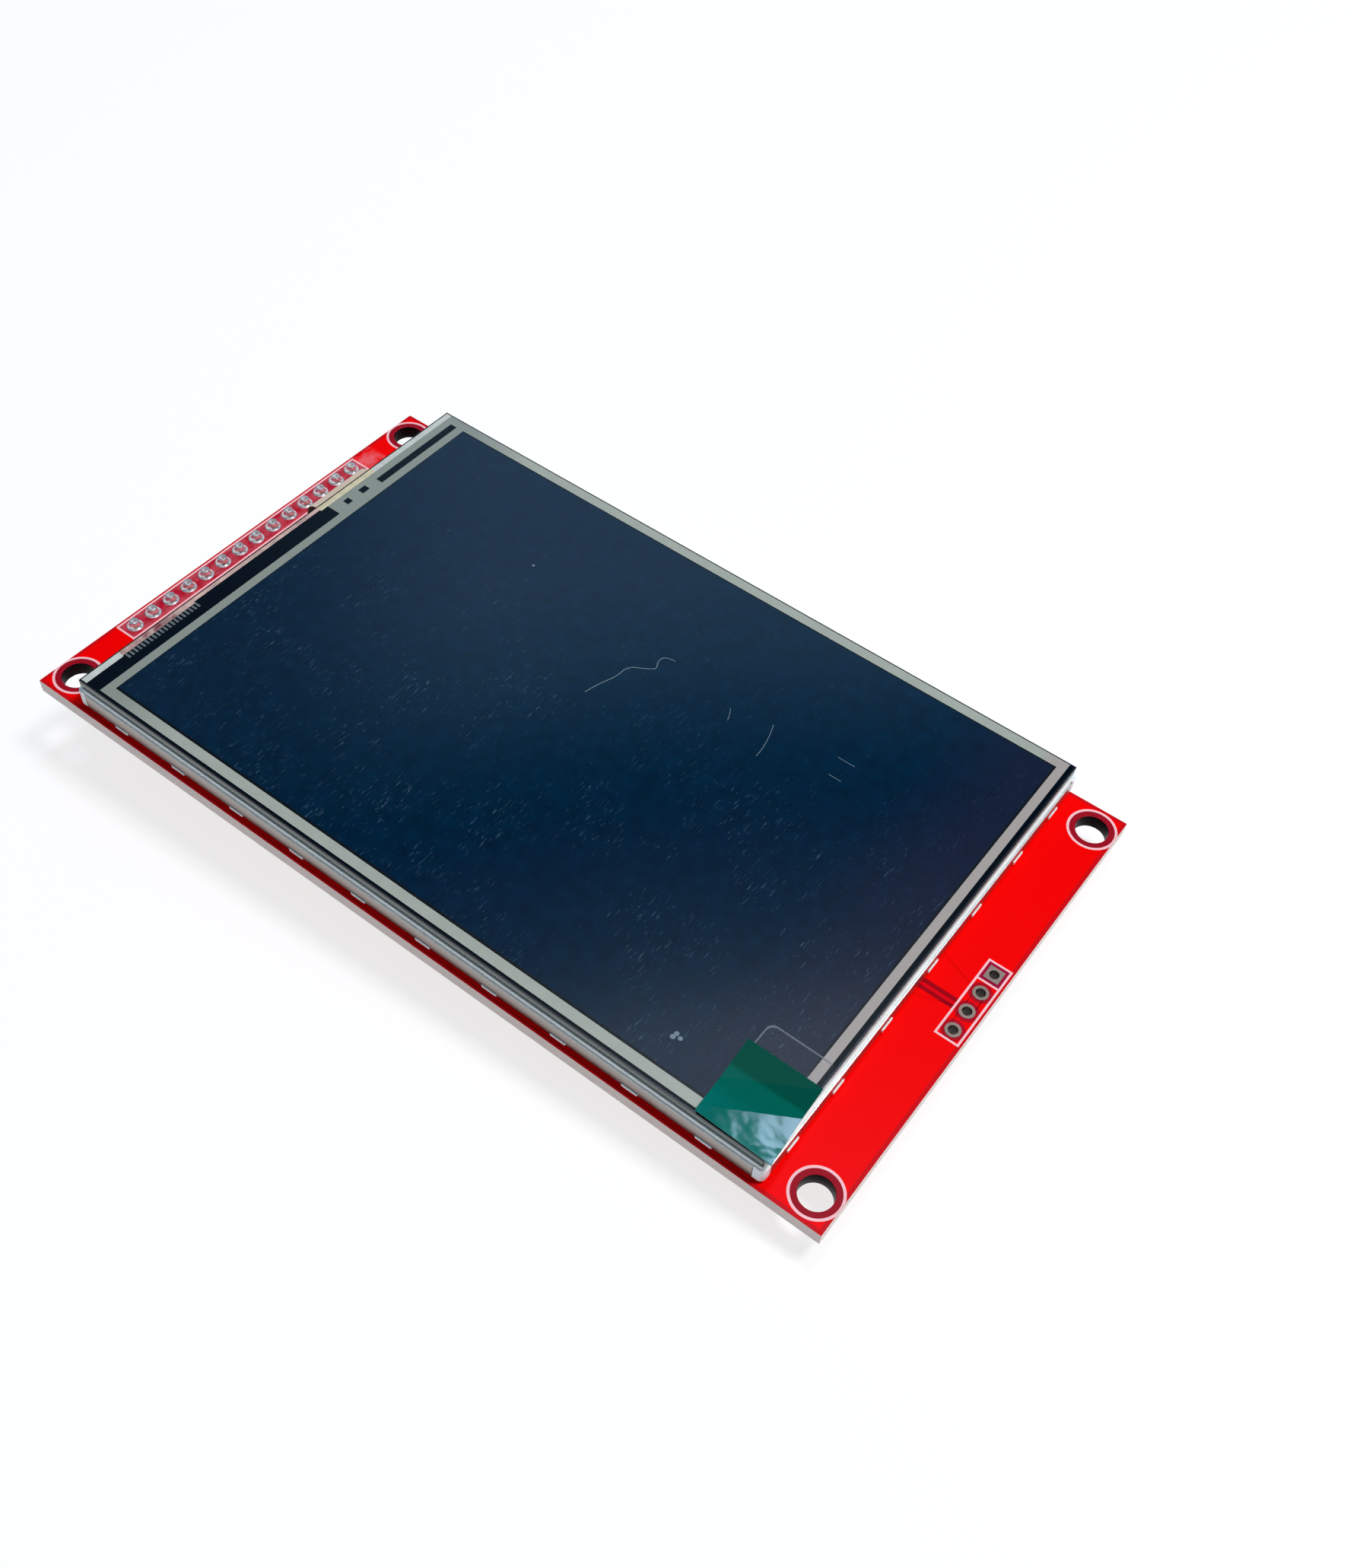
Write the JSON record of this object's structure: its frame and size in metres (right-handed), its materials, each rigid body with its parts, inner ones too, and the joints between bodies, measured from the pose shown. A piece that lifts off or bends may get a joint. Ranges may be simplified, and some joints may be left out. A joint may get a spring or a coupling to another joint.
{
  "type": "tft display module",
  "caption": "Colour TFT display module: a touch screen taped to a red circuit board, with a row of header pins at one end and a card socket on the back.",
  "frame": {"origin": "on the front face of the circuit board, midway between its four corner holes", "axes": "+Z out of the screen, +Y along the board to the end with the header pins, +X to the right seen from the front"},
  "size_m": [0.0569, 0.098, 0.0144],
  "materials": {
    "board_mask": "glossy red solder mask",
    "tinned_copper": "tinned copper",
    "black_plastic": "matte black",
    "solder": "bright solder",
    "pin_metal": "tinned brass",
    "white_tape": "matte white",
    "tray_steel": "satin",
    "white_plastic": "satin white",
    "white_film": "matte white",
    "clear_plastic": "clear",
    "clear_film": "clear, glossy",
    "amber_film": "glossy amber",
    "lamp_white": "white with a yellow face",
    "black_tape": "matte black",
    "polariser_film": "dark grey, glossy",
    "display_glass": "dark, glossy",
    "silicon": "dark grey, polished",
    "touch_film": "dark blue, glossy, with silver border",
    "tail_film": "glossy beige",
    "green_film": "glossy green",
    "socket_steel": "satin",
    "contact_gold": "gold plated",
    "chip_plastic": "matte black",
    "tinned_lead": "tinned",
    "resistor_black": "black glaze",
    "capacitor_tan": "tan"
  },
  "bodies": {
    "root": {"circuit_board": "board_mask", "header_pads": "tinned_copper", "card_header_pads": "tinned_copper", "header_housing": "black_plastic", "header_solder": "solder", "header_pin_1": "pin_metal", "header_pin_2": "pin_metal", "header_pin_3": "pin_metal", "header_pin_4": "pin_metal", "header_pin_5": "pin_metal", "header_pin_6": "pin_metal", "header_pin_7": "pin_metal", "header_pin_8": "pin_metal", "header_pin_9": "pin_metal", "header_pin_10": "pin_metal", "header_pin_11": "pin_metal", "header_pin_12": "pin_metal", "header_pin_13": "pin_metal", "header_pin_14": "pin_metal", "display_tape": "white_tape", "backlight_tray": "tray_steel", "mould_frame": "white_plastic", "reflector_sheet": "white_film", "light_guide": "clear_plastic", "diffuser_sheet": "white_film", "lower_prism_sheet": "clear_film", "upper_prism_sheet": "clear_film", "lamp_strip": "amber_film", "lamps": "lamp_white", "light_shield": "black_tape", "rear_polariser": "polariser_film", "tft_glass": "display_glass", "colour_filter_glass": "display_glass", "front_polariser": "polariser_film", "driver_chip": "silicon", "display_flex": "amber_film", "tail_lands": "tinned_copper", "touch_tape": "black_tape", "touch_glass": "display_glass", "touch_spacer": "black_tape", "touch_film": "touch_film", "touch_tail": "tail_film", "protective_film": "clear_film", "clear_tape": "clear_film", "pull_tab": "green_film", "card_socket_shell": "socket_steel", "card_socket_base": "black_plastic", "card_contacts": "contact_gold", "touch_controller": "chip_plastic", "regulator": "chip_plastic", "backlight_transistor": "chip_plastic", "chip_leads": "tinned_lead", "resistors": "resistor_black", "capacitors": "capacitor_tan", "end_caps": "tinned_lead"}
  },
  "joints": []
}
